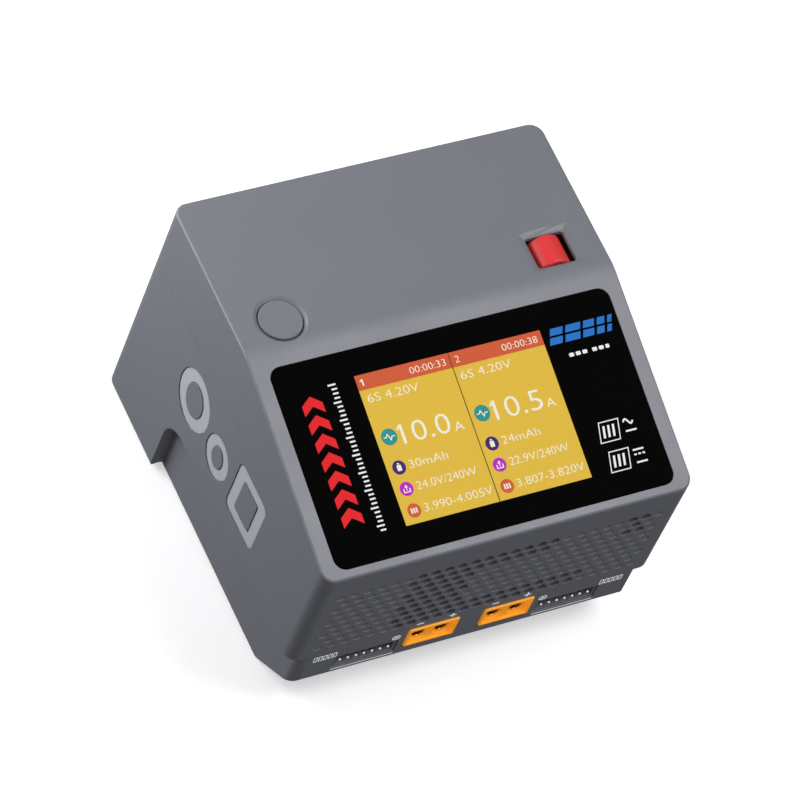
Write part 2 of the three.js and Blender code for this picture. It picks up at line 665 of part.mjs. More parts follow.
// ---------------------------------------------------------------- feet and screws
function rubberFoot(x, y) {
  const [bottom, top] = [-PAD_PROUD, PAD_POCKET - GAP];
  const profile = [[0, bottom], [PAD_R - 0.6, bottom], [PAD_R, bottom + 0.6], [PAD_R, top], [0, top]];
  const geometry = new THREE.LatheGeometry(profile.map(([r, h]) => new THREE.Vector2(r, h)), 24);
  return solid(geometry.rotateX(Math.PI / 2).translate(x, y, 0));
}

function baseScrew(x, y) {
  return union([rod('z', SCREW_HEAD_R, 0.1, 1.3, x, y, 18), rod('z', SCREW_SHANK_R, 1, 14, x, y, 12)]);
}

function fanScrew(x, z) {
  const seat = PANEL_BACK + GAP;
  const head = rod('y', SCREW_HEAD_R, seat, seat + 1.4, x, z, 18);
  return union([head, rod('y', SCREW_SHANK_R, seat - 10, seat + 0.5, x, z, 12)]);
}

// ---------------------------------------------------------------- materials and assembly
function finish(color, roughness, metalness = 0) {
  return new THREE.MeshStandardMaterial({ color, roughness, metalness });
}

const casePlastic = finish(0x74777d, 0.55);
const blackPlastic = finish(0x1c1d1f, 0.5);
const blackGlass = finish(0x050506, 0.08);
const badgePlastic = finish(0xa6a9ae, 0.5);
const redPlastic = finish(0xe33b3f, 0.4);
const amberPlastic = finish(0xf2a02a, 0.45);
const circuitBoard = finish(0x14532d, 0.5);
const brass = finish(0xc9a24a, 0.3, 1);
const steel = finish(0xb8babd, 0.3, 1);
const aluminium = finish(0xc2c5c9, 0.4, 1);
const rubber = finish(0x18181a, 0.9);
const ferrite = finish(0x2f2f33, 0.7);
const capacitorSleeve = finish(0x20242c, 0.35);
const screenPanel = finish(0xe2b42e, 0.3);

const charger = new THREE.Group();

function place(name, part, material) {
  const mesh = new THREE.Mesh(geometryOf(part), material);
  mesh.name = name;
  charger.add(mesh);
}

place('upper_shell', upperShell(), casePlastic);
place('lower_shell', lowerShell(), casePlastic);
place('rear_panel', rearPanel(), blackPlastic);
place('display_glass', displayGlass(), blackGlass);
place('lcd_module', lcdModule(), screenPanel);
place('display_board', displayBoard(), circuitBoard);
place('control_board', controlBoard(), circuitBoard);
place('channel_button', channelButton(), casePlastic);
place('channel_switch', pressSwitch(BUTTON_X, BUTTON_Y, 2.6, 1), blackPlastic);
place('scroll_roller', scrollRoller(), redPlastic);
place('roller_axle', rollerAxle(), steel);
place('roller_carrier', rollerCarrier(), blackPlastic);
place('roller_encoder', rollerEncoder(), blackPlastic);
place('roller_switch', pressSwitch(ROLLER_X, ROLLER_Y, 2.9, 1), blackPlastic);

for (const [side, sideName] of [[-1, 'left'], [1, 'right']]) {
  const x = side * POWER_SOCKET_X;
  place(`power_socket_${sideName}`, powerSocket(x, POWER_SOCKET_Z, -POWER_SOCKET_PROUD, 1), amberPlastic);
  for (const [end, endName] of [[-1, 'a'], [1, 'b']]) {
    const tube = contactTube(x + (end * CONTACT_PITCH) / 2, POWER_SOCKET_Z, -POWER_SOCKET_PROUD, 1);
    place(`power_contact_${sideName}_${endName}`, tube, brass);
  }
  place(`balance_socket_${sideName}`, balanceSocket(side * BALANCE_X), blackPlastic);
  place(`balance_pins_${sideName}`, balancePins(side * BALANCE_X), steel);
}

place('dc_input_socket', powerSocket(INLET_X, DC_Z, PANEL_BACK + 1.2, -1), amberPlastic);
for (const [end, endName] of [[-1, 'a'], [1, 'b']]) {
  const tube = contactTube(INLET_X + (end * CONTACT_PITCH) / 2, DC_Z, PANEL_BACK + 1.2, -1);
  place(`dc_input_contact_${endName}`, tube, brass);
}
place('ac_inlet', acInlet(), blackPlastic);
place('ac_inlet_blades', acInletBlades(), steel);
place('usb_port', usbPort(), steel);
place('fan_frame', fanFrame(), blackPlastic);
place('fan_rotor', fanRotor(), blackPlastic);
place('main_board', mainBoard(), circuitBoard);
place('heat_sink', heatSink(), aluminium);
place('transformer', transformer(), ferrite);
place('bulk_capacitor_front', bulkCapacitor(40), capacitorSleeve);
place('bulk_capacitor_rear', bulkCapacitor(60), capacitorSleeve);
place('inductor_left', toroidInductor(-14), ferrite);
place('inductor_right', toroidInductor(12), ferrite);
place('badge_ring_large', badgePiece(ringShape(RING_LARGE, 0)), badgePlastic);
place('badge_ring_small', badgePiece(ringShape(RING_SMALL, 0)), badgePlastic);
place('badge_square', badgePiece(squareShape(SQUARE, 0)), badgePlastic);

padPlaces().forEach(([x, y], index) => place(`rubber_foot_${index + 1}`, rubberFoot(x, y), rubber));
postPlaces.forEach(([x, y], index) => place(`base_screw_${index + 1}`, baseScrew(x, y), steel));
fanScrewPlaces().forEach(([x, z], index) => place(`fan_screw_${index + 1}`, fanScrew(x, z), steel));

charger.position.set(0, -DEPTH / 2, PAD_PROUD);
charger.updateMatrixWorld(true);

export default charger;
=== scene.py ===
"""Looks of a two-channel balance charger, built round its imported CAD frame."""

import math

import bmesh
import bpy
from mathutils import Matrix, Vector


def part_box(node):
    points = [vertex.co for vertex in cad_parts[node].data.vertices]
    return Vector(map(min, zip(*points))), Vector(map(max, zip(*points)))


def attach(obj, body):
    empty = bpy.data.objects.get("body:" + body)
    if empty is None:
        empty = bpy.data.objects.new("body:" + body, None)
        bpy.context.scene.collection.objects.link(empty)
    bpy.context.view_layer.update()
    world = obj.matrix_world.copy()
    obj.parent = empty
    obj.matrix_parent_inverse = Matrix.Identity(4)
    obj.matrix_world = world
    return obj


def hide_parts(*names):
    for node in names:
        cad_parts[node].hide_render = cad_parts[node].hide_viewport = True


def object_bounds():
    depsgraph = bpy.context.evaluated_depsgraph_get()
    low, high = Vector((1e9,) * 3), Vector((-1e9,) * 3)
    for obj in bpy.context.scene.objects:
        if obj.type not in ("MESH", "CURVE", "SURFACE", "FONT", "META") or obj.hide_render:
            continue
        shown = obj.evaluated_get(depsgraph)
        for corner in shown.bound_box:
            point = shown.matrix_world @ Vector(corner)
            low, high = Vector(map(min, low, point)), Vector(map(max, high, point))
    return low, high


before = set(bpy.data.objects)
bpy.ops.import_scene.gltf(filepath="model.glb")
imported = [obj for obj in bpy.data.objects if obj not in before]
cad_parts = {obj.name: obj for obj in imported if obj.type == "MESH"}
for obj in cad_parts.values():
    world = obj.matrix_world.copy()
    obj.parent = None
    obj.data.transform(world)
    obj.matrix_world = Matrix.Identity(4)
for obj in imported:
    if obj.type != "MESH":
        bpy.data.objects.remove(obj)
start_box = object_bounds()

# ---------------------------------------------------------------- the case frame
# Shapes are drawn in millimetres: x = 0 in the middle, y = 0 on the front face, z = 0 on the underside.
shell_low, shell_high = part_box("lower_shell")
case_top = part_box("upper_shell")[1].z
ORIGIN = Vector(((shell_low.x + shell_high.x) / 2, shell_low.y, shell_low.z))
TO_ROW = Matrix.Translation(ORIGIN) @ Matrix.Diagonal((0.001, 0.001, 0.001, 1))
WIDTH = (shell_high.x - shell_low.x) * 1000
DEPTH = (shell_high.y - shell_low.y) * 1000
HEIGHT = (case_top - shell_low.z) * 1000


def box_mm(node):
    low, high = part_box(node)
    return (low - ORIGIN) * 1000, (high - ORIGIN) * 1000


def centre_mm(node):
    low, high = box_mm(node)
    return (low + high) / 2


# ---------------------------------------------------------------- dimensions of the looks
CORNER_R = 4
WALL = 2.6
SLOPE = math.radians(15.26)
BEND_Y = 63.75
BEND_R = 16
FRONT_TOP_Z = HEIGHT - BEND_Y * math.tan(SLOPE)
CHAMFER_Z = 12.4
CHAMFER_Y = 16.25
BAND_INSET = 3.7
BAND_CORNER_R = 3.2
LEDGE_Z = 25
REAR_FOOT_Y = 82.2
RECESS_R = 9
SEAM_Z = 61
SEAM_GAP = 0.07
TAB_TOP_Z = FRONT_TOP_Z - 1.9
TAB_HALF = WIDTH / 2 - CORNER_R - 0.5
EDGE_R = 0.7

GLASS_START = 5.45
GLASS_SUNK = 0.15
GLASS_T = 1.1

BUTTON_R = 6.3
BUTTON_HOLE_R = 6.6
BUTTON_ROUND = 0.45

WELL_W = 12.2
WELL_L = 10.1
WELL_R = 0.9
WELL_MOUTH_W = 17.4
WELL_MOUTH_L = 13.4
WELL_DROP = 1.3
ROLLER_ROUND = 0.7

VENT_COLUMNS = 25
VENT_ROWS = 9
VENT_PITCH_X = 4.125
VENT_PITCH_Z = 3.3
VENT_TOP_Z = 55.7
VENT_R = 1.66
VENT_LIP_R = 1.72
BLIND_R = 1.4
BLIND_FLOOR_R = 1.15
BLIND_DEPTH = 0.24

ON_SLOPE = Matrix.Translation((0, BEND_Y, HEIGHT)) @ Matrix.Rotation(SLOPE, 4, "X")
ALONG_Y = Matrix.Rotation(math.radians(-90), 4, "X")

# ---------------------------------------------------------------- shapes
AXES = {
    "x": lambda u, v, w: (w, u, v),
    "y": lambda u, v, w: (u, w, v),
    "z": lambda u, v, w: (u, v, w),
}


def arc(u, v, radius_u, radius_v, start, end, steps):
    turns = [math.radians(start + (end - start) * k / steps) for k in range(steps + 1)]
    return [(u + radius_u * math.cos(t), v + radius_v * math.sin(t)) for t in turns]


def rounded(width, height, radius, u=0.0, v=0.0, steps=8):
    points = []
    for quarter, (su, sv) in enumerate([(1, -1), (1, 1), (-1, 1), (-1, -1)]):
        cu, cv = u + su * (width / 2 - radius), v + sv * (height / 2 - radius)
        points += arc(cu, cv, radius, radius, 90 * quarter - 90, 90 * quarter, steps)
    return points


def ellipse(u, v, width, height, steps=64):
    return arc(u, v, width / 2, height / 2, 0, 360, steps)[:-1]


def prism(points, axis, low, high):
    """An outline (u, v) swept along an axis."""
    bm = bmesh.new()
    put = AXES[axis]
    ends = [[bm.verts.new(put(u, v, w)) for u, v in points] for w in (low, high)]
    bm.faces.new(ends[0])
    bm.faces.new(ends[1])
    for k in range(len(points)):
        n = (k + 1) % len(points)
        bm.faces.new((ends[0][k], ends[0][n], ends[1][n], ends[1][k]))
    bmesh.ops.recalc_face_normals(bm, faces=bm.faces[:])
    return bm


def ring(outside, inside, axis, low, high):
    """The band between two outlines with the same number of points, swept along an axis."""
    bm = bmesh.new()
    put = AXES[axis]
    loops = []
    for points, w in ((outside, low), (outside, high), (inside, high), (inside, low)):
        loops.append([bm.verts.new(put(u, v, w)) for u, v in points])
    for a, b in zip(loops, loops[1:] + loops[:1]):
        for k in range(len(outside)):
            n = (k + 1) % len(outside)
            bm.faces.new((a[k], a[n], b[n], b[k]))
    bmesh.ops.recalc_face_normals(bm, faces=bm.faces[:])
    return bm


def spin(rings, sides=48, tube=False, turn=0.0):
    """Rings of (radius, height) round +Z, capped at both ends or closed into a tube."""
    bm = bmesh.new()
    turns = [turn + 2 * math.pi * k / sides for k in range(sides)]
    loops = [[bm.verts.new((r * math.cos(t), r * math.sin(t), h)) for t in turns] for r, h in rings]
    pairs = list(zip(loops, loops[1:])) + ([(loops[-1], loops[0])] if tube else [])
    for a, b in pairs:
        for k in range(sides):
            n = (k + 1) % sides
            bm.faces.new((a[k], a[n], b[n], b[k]))
    if not tube:
        bm.faces.new(loops[0])
        bm.faces.new(loops[-1])
    bmesh.ops.recalc_face_normals(bm, faces=bm.faces[:])
    return bm


def block(x0, x1, y0, y1, z0, z1):
    return prism([(x0, y0), (x1, y0), (x1, y1), (x0, y1)], "z", z0, z1)


def moved(bm, *matrices):
    for matrix in matrices:
        bm.transform(matrix)
    return bm


def at(x, y, z):
    return Matrix.Translation((x, y, z))


def together(parts):
    whole = bmesh.new()
    for part in parts:
        mesh = bpy.data.meshes.new("part")
        part.to_mesh(mesh)
        whole.from_mesh(mesh)
        bpy.data.meshes.remove(mesh)
        part.free()
    return whole


def solid(name, bm):
    mesh = bpy.data.meshes.new(name)
    bm.to_mesh(mesh)
    bm.free()
    thing = bpy.data.objects.new(name, mesh)
    bpy.context.scene.collection.objects.link(thing)
    return thing


def mesh_of(thing):
    bm = bmesh.new()
    bm.from_mesh(thing.data)
    return bm


def combine(thing, bm, operation="DIFFERENCE"):
    tool = solid("tool", bm)
    modifier = thing.modifiers.new("combine", "BOOLEAN")
    modifier.operation = operation
    modifier.solver = "EXACT"
    modifier.object = tool
    graph = bpy.context.evaluated_depsgraph_get()
    mesh = bpy.data.meshes.new_from_object(thing.evaluated_get(graph))
    thing.modifiers.clear()
    thing.data = mesh
    bpy.data.objects.remove(tool)
    return thing


def round_edges(thing, width, segments=3, angle=30, where=None):
    """Rounds the outer edges that turn by more than the angle."""
    bm = mesh_of(thing)
    bmesh.ops.remove_doubles(bm, verts=bm.verts, dist=1e-4)
    bmesh.ops.dissolve_limit(bm, angle_limit=0.005, verts=bm.verts, edges=bm.edges)
    chosen = []
    for edge in bm.edges:
        if len(edge.link_faces) != 2 or not edge.is_convex:
            continue
        if edge.calc_face_angle() > math.radians(angle) and (where is None or where(edge)):
            chosen.append(edge)
    bmesh.ops.bevel(
        bm, geom=chosen, offset=width, offset_type="OFFSET", segments=segments, profile=0.5,
        affect="EDGES", clamp_overlap=False,
    )
    bm.to_mesh(thing.data)
    bm.free()
    return thing


def finished(thing, body, surface, replaces=(), smooth=35):
    """Moves a shape from the case frame to the row frame and makes it a piece of the looks."""
    thing.data.transform(TO_ROW)
    shade(thing, smooth)
    wear(thing, surface)
    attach(thing, body)
    if replaces:
        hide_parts(*replaces)
    return thing


def shade(thing, smooth):
    mesh = thing.data
    mesh.polygons.foreach_set("use_smooth", [True] * len(mesh.polygons))
    mesh.set_sharp_from_angle(angle=math.radians(smooth))
    normals = thing.modifiers.new("normals", "WEIGHTED_NORMAL")
    normals.keep_sharp = True


def wear(thing, surface):
    thing.data.materials.clear()
    thing.data.materials.append(surface)


# ---------------------------------------------------------------- finishes
def linear(colour):
    return [c / 12.92 if c <= 0.04045 else ((c + 0.055) / 1.055) ** 2.4 for c in (v / 255 for v in colour)]


def finish(
    name, colour, roughness, metallic=0.0, spread=0.05, grain=2600, relief=0.12,
    glow=0.0, specular=0.5, level=1.0,
):
    """A surface with a fine grain in its colour, its roughness and its height."""
    material = bpy.data.materials.new(name)
    material.use_nodes = True
    tree = material.node_tree
    shader = tree.nodes["Principled BSDF"]
    place = tree.nodes.new("ShaderNodeTexCoord")
    fine = tree.nodes.new("ShaderNodeTexNoise")
    fine.inputs["Scale"].default_value = grain
    fine.inputs["Detail"].default_value = 3
    broad = tree.nodes.new("ShaderNodeTexNoise")
    broad.inputs["Scale"].default_value = 60
    broad.inputs["Detail"].default_value = 2
    tree.links.new(place.outputs["Object"], fine.inputs["Vector"])
    tree.links.new(place.outputs["Object"], broad.inputs["Vector"])
    ramp = tree.nodes.new("ShaderNodeValToRGB")
    base = [level * c for c in linear(colour)]
    ramp.color_ramp.elements[0].position = 0.3
    ramp.color_ramp.elements[1].position = 0.7
    ramp.color_ramp.elements[0].color = [c * (1 - spread) for c in base] + [1]
    ramp.color_ramp.elements[1].color = [min(1, c * (1 + spread)) for c in base] + [1]
    tree.links.new(fine.outputs["Fac"], ramp.inputs["Fac"])
    tree.links.new(ramp.outputs["Color"], shader.inputs["Base Color"])
    rough = tree.nodes.new("ShaderNodeMapRange")
    rough.inputs["To Min"].default_value = max(0.02, roughness * 0.85)
    rough.inputs["To Max"].default_value = min(1, roughness * 1.15)
    tree.links.new(broad.outputs["Fac"], rough.inputs["Value"])
    tree.links.new(rough.outputs["Result"], shader.inputs["Roughness"])
    if relief:
        bump = tree.nodes.new("ShaderNodeBump")
        bump.inputs["Strength"].default_value = relief
        bump.inputs["Distance"].default_value = 0.00005
        tree.links.new(fine.outputs["Fac"], bump.inputs["Height"])
        tree.links.new(bump.outputs["Normal"], shader.inputs["Normal"])
    shader.inputs["Metallic"].default_value = metallic
    shader.inputs["Specular IOR Level"].default_value = specular
    if glow:
        tree.links.new(ramp.outputs["Color"], shader.inputs["Emission Color"])
        shader.inputs["Emission Strength"].default_value = glow
    return material


case_plastic = finish("case_plastic", (119, 121, 130), 0.5, spread=0.07, relief=0.2, specular=0.75)
button_plastic = finish("button_plastic", (122, 124, 133), 0.58, spread=0.07, relief=0.2, specular=0.35)
black_plastic = finish("black_plastic", (26, 27, 29), 0.5, spread=0.15, relief=0.2)
# Lighter than the sockets' black plastic, so their recesses in shade look lit: painted light.
socket_plastic_painted_light = finish("socket_plastic_painted_light", (112, 115, 120), 0.5, spread=0.1, relief=0.15)
# One pin metal in two copies: a dark copy for the shafts (painted shade) and a white, glowing copy for the
# tips (painted highlight).
pin_metal_painted_shade = finish("pin_metal_painted_shade", (92, 93, 95), 0.4, metallic=0.6, relief=0.05)
tip_painted_highlight = finish("tip_painted_highlight", (240, 240, 238), 0.35, metallic=0.3, relief=0.05, glow=0.35)
black_glass = finish("black_glass", (1, 1, 2), 0.15, spread=0.2, relief=0.0, specular=0.004)
badge_plastic = finish("badge_plastic", (184, 187, 194), 0.5, spread=0.06, relief=0.15)
red_plastic = finish("red_plastic", (232, 60, 62), 0.42, spread=0.06, relief=0.1, specular=0.4)
# The amber sockets glow a little though they are no lamp: painted light.
amber_plastic = finish("amber_plastic", (250, 164, 34), 0.42, spread=0.05, relief=0.12, glow=0.35)
circuit_board = finish("circuit_board", (20, 86, 46), 0.45, spread=0.25, grain=900, relief=0.1)
brass = finish("brass", (214, 178, 96), 0.28, metallic=1.0, relief=0.08)
steel = finish("steel", (196, 198, 202), 0.3, metallic=1.0, relief=0.08)
aluminium = finish("aluminium", (200, 203, 207), 0.38, metallic=1.0, relief=0.15)
rubber = finish("rubber", (30, 30, 32), 0.85, spread=0.2, relief=0.35)
ferrite = finish("ferrite", (52, 52, 57), 0.7, spread=0.2, relief=0.3)
sleeve = finish("sleeve", (36, 40, 50), 0.35, spread=0.1, relief=0.05)
lcd_back = finish("lcd_back", (150, 152, 150), 0.4, spread=0.05)


def lit(name, colour, glow=0.6):
    """A lit screen area or a bright printed area: about half of its light is its own; on printed marks,
    which are no lamp, that glow is painted light.
    """
    return finish(name, colour, 0.3, spread=0.03, relief=0.0, glow=glow, specular=0.05, level=0.6)


screen_yellow = lit("screen_yellow", (233, 192, 62))
screen_orange = lit("screen_orange", (214, 92, 52))
screen_white = lit("screen_white", (250, 246, 226))
screen_line = lit("screen_line", (78, 50, 24))
icon_teal = lit("icon_teal", (38, 150, 146))
icon_purple = lit("icon_purple", (62, 26, 112))
icon_magenta = lit("icon_magenta", (190, 30, 200))
# The printed marks glow though they are only print: painted light.
print_white_painted_glow = lit("print_white_painted_glow", (244, 245, 248))
print_red_painted_glow = lit("print_red_painted_glow", (236, 22, 30))
print_blue_painted_glow = lit("print_blue_painted_glow", (22, 116, 204))
# The front's silk print glows a little though it is no lamp: painted light.
silk_white_painted_glow = finish("silk_white_painted_glow", (232, 235, 240), 0.5, spread=0.05, relief=0.05, glow=0.4)


# ---------------------------------------------------------------- the case as one solid
def side_outline(inset, bend_r):
    """The case from the side, moved inwards by inset, with a soft bend above the display face."""
    chamfer = math.atan2(CHAMFER_Z, CHAMFER_Y)
    top_front = FRONT_TOP_Z + inset * math.tan(SLOPE) - inset / math.cos(SLOPE)
    rise = CHAMFER_Z - inset * math.tan(chamfer) + inset / math.cos(chamfer)
    run = CHAMFER_Y + inset * math.tan(chamfer / 2)
    bend_at = BEND_Y + inset * math.tan(SLOPE / 2) + bend_r * math.tan(SLOPE / 2)
    bend = arc(bend_at, HEIGHT - inset - bend_r, bend_r, bend_r, 90, 90 + math.degrees(SLOPE), 6)
    ground = [(run, inset), (DEPTH - inset, inset), (DEPTH - inset, HEIGHT - inset)]
    return ground + bend + [(inset, top_front), (inset, rise)]


def recess_cut(side):
    """What is cut from a side below the ledge, in front of the rear foot, down to the narrower band."""
    corner = arc(REAR_FOOT_Y - RECESS_R, LEDGE_Z - RECESS_R, RECESS_R, RECESS_R, 0, 90, 10)
    profile = [(-1, -1), (REAR_FOOT_Y, -1)] + corner + [(-1, LEDGE_Z)]
    reach = WIDTH / 2 - BAND_INSET - 6
    span = (reach, WIDTH / 2 + 1) if side > 0 else (-WIDTH / 2 - 1, -reach)
    cut = solid("recess", prism(profile, "x", *span))
    band = rounded(WIDTH - 2 * BAND_INSET, DEPTH + 8, BAND_CORNER_R, 0, DEPTH / 2 + 4, 8)
    combine(cut, prism(band, "z", -3, LEDGE_Z + 3))
    bm = mesh_of(cut)
    bpy.data.objects.remove(cut)
    return bm


def outer_case():
    case = solid("case", prism(rounded(WIDTH, DEPTH, CORNER_R, 0, DEPTH / 2, 10), "z", -5, HEIGHT + 5))
    combine(case, prism(side_outline(0, BEND_R), "x", -WIDTH, WIDTH), "INTERSECT")
    round_edges(case, EDGE_R, 4)
    for side in (-1, 1):
        combine(case, recess_cut(side))

    def is_ledge(edge):
        ends = [v.co for v in edge.verts]
        side = all(abs(p.x) > WIDTH / 2 - 0.02 for p in ends)
        foot = all(p.z < 0.02 and abs(p.x) > WIDTH / 2 - BAND_INSET - 0.02 and p.y > 20 for p in ends)
        return side or foot

    return round_edges(case, 0.5, 2, 40, is_ledge)


def cavity():
    wide = WIDTH / 2 - WALL
    narrow = wide - BAND_INSET
    rear = DEPTH - WALL
    space = solid("rooms", block(-wide, wide, WALL, rear, LEDGE_Z + WALL, HEIGHT))
    combine(space, block(-narrow, narrow, WALL, rear, WALL, LEDGE_Z + WALL + 1), "UNION")
    combine(space, block(-wide, wide, REAR_FOOT_Y + WALL, rear, WALL, LEDGE_Z + WALL + 2), "UNION")
    combine(space, prism(side_outline(WALL, BEND_R), "x", -WIDTH, WIDTH), "INTERSECT")
    return space


# ---------------------------------------------------------------- vents
def vent_is_open(row, x):
    behind_duct = -28 < x < -8
    upper_bar = row < 2 and -28 < x < 18
    lower_bar = row > 6 and -28 < x < 31
    corner = row < 3 and 40 < x < 47
    return behind_duct or upper_bar or lower_bar or corner


def vents():
    cuts = []
    for row in range(VENT_ROWS):
        shifted = row % 2
        for column in range(VENT_COLUMNS - shifted):
            x = (column - (VENT_COLUMNS - 1 - shifted) / 2) * VENT_PITCH_X
            z = VENT_TOP_Z - row * VENT_PITCH_Z
            if vent_is_open(row, x):
                rings = [(VENT_LIP_R, -0.3), (VENT_LIP_R, 0.08), (VENT_R, 0.15), (VENT_R, WALL + 1)]
            else:
                rings = [(BLIND_R, -0.3), (BLIND_R, 0.0), (BLIND_FLOOR_R, BLIND_DEPTH)]
            cuts.append(moved(spin(rings, 6, turn=math.pi / 2), ALONG_Y, at(x, 0, z)))
    return together(cuts)


# ---------------------------------------------------------------- side badge outlines
BADGE_BANDS = {"badge_ring_large": 4.2, "badge_ring_small": 3.4, "badge_square": 4.0}


def badge_loops(node, grow):
    """The outer and the inner outline of a badge in y, z, each moved by grow away from the band."""
    low, high = box_mm(node)
    y, z = (low.y + high.y) / 2, (low.z + high.z) / 2
    width, height = high.y - low.y, high.z - low.z
    inside = 2 * (BADGE_BANDS[node] + grow)
    if node == "badge_square":
        outer_loop = rounded(width + 2 * grow, height + 2 * grow, 2.5 + grow, y, z)
        return outer_loop, rounded(width - inside, height - inside, 0.6, y, z)
    outer_loop = ellipse(y, z, width + 2 * grow, height + 2 * grow)
    return outer_loop, ellipse(y, z, width - inside, height - inside)


# ---------------------------------------------------------------- shells
outer = outer_case()
rooms = cavity()
rear_opening = (-50, 50, DEPTH - WALL - 1, DEPTH + 1, 6, 78)
glass_low, glass_high = box_mm("display_glass")
GLASS_W = glass_high.x - glass_low.x
GLASS_L = (glass_high.y - glass_low.y - GLASS_T * math.sin(SLOPE)) / math.cos(SLOPE)
glass_v = -GLASS_START - GLASS_L / 2
button_mm = centre_mm("channel_button")
roller_low, roller_high = box_mm("scroll_roller")
roller_mm = (roller_low + roller_high) / 2


def front_tab(grow):
    return block(-TAB_HALF - grow, TAB_HALF + grow, -2, WALL + 0.2 + grow, SEAM_Z - 2, TAB_TOP_Z + grow)


def well_funnel(x, y):
    """The four-sided mouth of the roller's well; it carries on a little above the top surface."""
    bm = bmesh.new()
    rise = 0.5
    lift = (WELL_DROP + rise) / WELL_DROP
    mouth = (WELL_W + (WELL_MOUTH_W - WELL_W) * lift, WELL_L + (WELL_MOUTH_L - WELL_L) * lift, HEIGHT + rise)
    loops = []
    for width, length, level in ((WELL_W, WELL_L, HEIGHT - WELL_DROP), mouth):
        edge = rounded(width, length, WELL_R, 0, 0, 4)
        loops.append([bm.verts.new((x + u, y + v, level)) for u, v in edge])
    bm.faces.new(loops[0])
    bm.faces.new(loops[1])
    count = len(loops[0])
    for k in range(count):
        n = (k + 1) % count
        bm.faces.new((loops[0][k], loops[0][n], loops[1][n], loops[1][k]))
    bmesh.ops.recalc_face_normals(bm, faces=bm.faces[:])
    return bm


def make_upper_shell():
    keep = solid("keep", block(-WIDTH, WIDTH, -9, DEPTH + 9, SEAM_Z + SEAM_GAP / 2, HEIGHT + 9))
    combine(keep, front_tab(SEAM_GAP))
    shell = solid("upper_shell_looks", mesh_of(outer))
    combine(shell, mesh_of(keep), "INTERSECT")
    bpy.data.objects.remove(keep)
    combine(shell, mesh_of(rooms))
    combine(shell, block(*rear_opening))
    pocket = rounded(GLASS_W + 0.3, GLASS_L + 0.3, 3.55, 0, glass_v, 8)
    combine(shell, moved(prism(pocket, "z", -GLASS_SUNK - GLASS_T - 0.3, 4), ON_SLOPE))
    window = rounded(66, 50.8, 0.5, 0, glass_v, 2)
    combine(shell, moved(prism(window, "z", -6, 0), ON_SLOPE))
    button_rings = [(BUTTON_HOLE_R, HEIGHT - 6), (BUTTON_HOLE_R, HEIGHT - 0.75)]
    button_rings += [(7.65, HEIGHT), (8.35, HEIGHT + 0.5)]
    combine(shell, moved(spin(button_rings, 64), at(button_mm.x, button_mm.y, 0)))
    well = rounded(WELL_W, WELL_L, WELL_R, roller_mm.x, roller_mm.y, 4)
    combine(shell, prism(well, "z", HEIGHT - 6, HEIGHT + 2))
    combine(shell, well_funnel(roller_mm.x, roller_mm.y))
    return finished(shell, "case", case_plastic, ["upper_shell"])


def socket_outline(node, grow, cut=0.5):
    low, high = box_mm(node)
    x0, x1, z0, z1 = low.x - grow, high.x + grow, low.z - grow, high.z + grow
    return [(x0 + cut, z0), (x1, z0), (x1, z1), (x0 + cut, z1), (x0, z1 - cut), (x0, z0 + cut)]


def make_lower_shell():
    keep = solid("keep", block(-WIDTH, WIDTH, -9, DEPTH + 9, -9, SEAM_Z - SEAM_GAP / 2))
    combine(keep, front_tab(0), "UNION")
    shell = solid("lower_shell_looks", mesh_of(outer))
    combine(shell, mesh_of(keep), "INTERSECT")
    bpy.data.objects.remove(keep)
    combine(shell, mesh_of(rooms))
    combine(shell, block(*rear_opening))
    combine(shell, vents())
    holes = []
    for side in ("left", "right"):
        holes.append(prism(socket_outline(f"power_socket_{side}", 0.12), "y", -1, 10))
        low, high = box_mm(f"balance_socket_{side}")
        holes.append(block(low.x - 0.12, high.x + 0.12, -1, 10, low.z - 0.12, high.z + 0.12))
    combine(shell, together(holes))
    below = []
    for index in range(1, 5):
        foot = centre_mm(f"rubber_foot_{index}")
        seat = centre_mm(f"base_screw_{index}")
        below.append(moved(spin([(6.2, -1), (6.2, 1)], 48), at(foot.x, foot.y, 0)))
        counterbore = [(3.7, -0.3), (3.4, 0.3), (3.4, 1.6), (1.8, 1.61), (1.8, 5)]
        below.append(moved(spin(counterbore, 32), at(seat.x, seat.y, 0)))
    combine(shell, together(below))
    pockets = []
    for node in BADGE_BANDS:
        face = box_mm(node)[1].x + 0.12
        pockets.append(ring(*badge_loops(node, 0.12), "x", -WIDTH / 2 - 1, face))
    combine(shell, together(pockets))
    return finished(shell, "case", case_plastic, ["lower_shell"])


make_upper_shell()
make_lower_shell()
bpy.data.objects.remove(outer)
bpy.data.objects.remove(rooms)

# ---------------------------------------------------------------- side badges
for node in BADGE_BANDS:
    badge_low, badge_high = box_mm(node)
    inlay = solid(f"{node}_looks", ring(*badge_loops(node, 0), "x", badge_low.x, badge_high.x))
    round_edges(inlay, 0.15, 2)
    finished(inlay, "case", badge_plastic, [node])

# ---------------------------------------------------------------- display
GLASS_TOP = -GLASS_SUNK
plate = prism(rounded(GLASS_W, GLASS_L, 3.4, 0, glass_v, 10), "z", GLASS_TOP - GLASS_T, GLASS_TOP)
plate = solid("display_glass_looks", plate)
round_edges(plate, 0.12, 2)
plate.data.transform(ON_SLOPE)
finished(plate, "case", black_glass, ["display_glass"])


def layer(name, parts, surface, level):
    """Thin print or lit area on the glass; level 1 lies on the glass, 2 on level 1 and so on."""
    bm = together(parts)
    low, high = GLASS_TOP - 0.02, GLASS_TOP + 0.03 * level
    for vert in bm.verts:
        vert.co.z = high if vert.co.z > 0.5 else low
    thing = solid(name, bm)
    thing.data.transform(ON_SLOPE)
    return finished(thing, "case", surface)


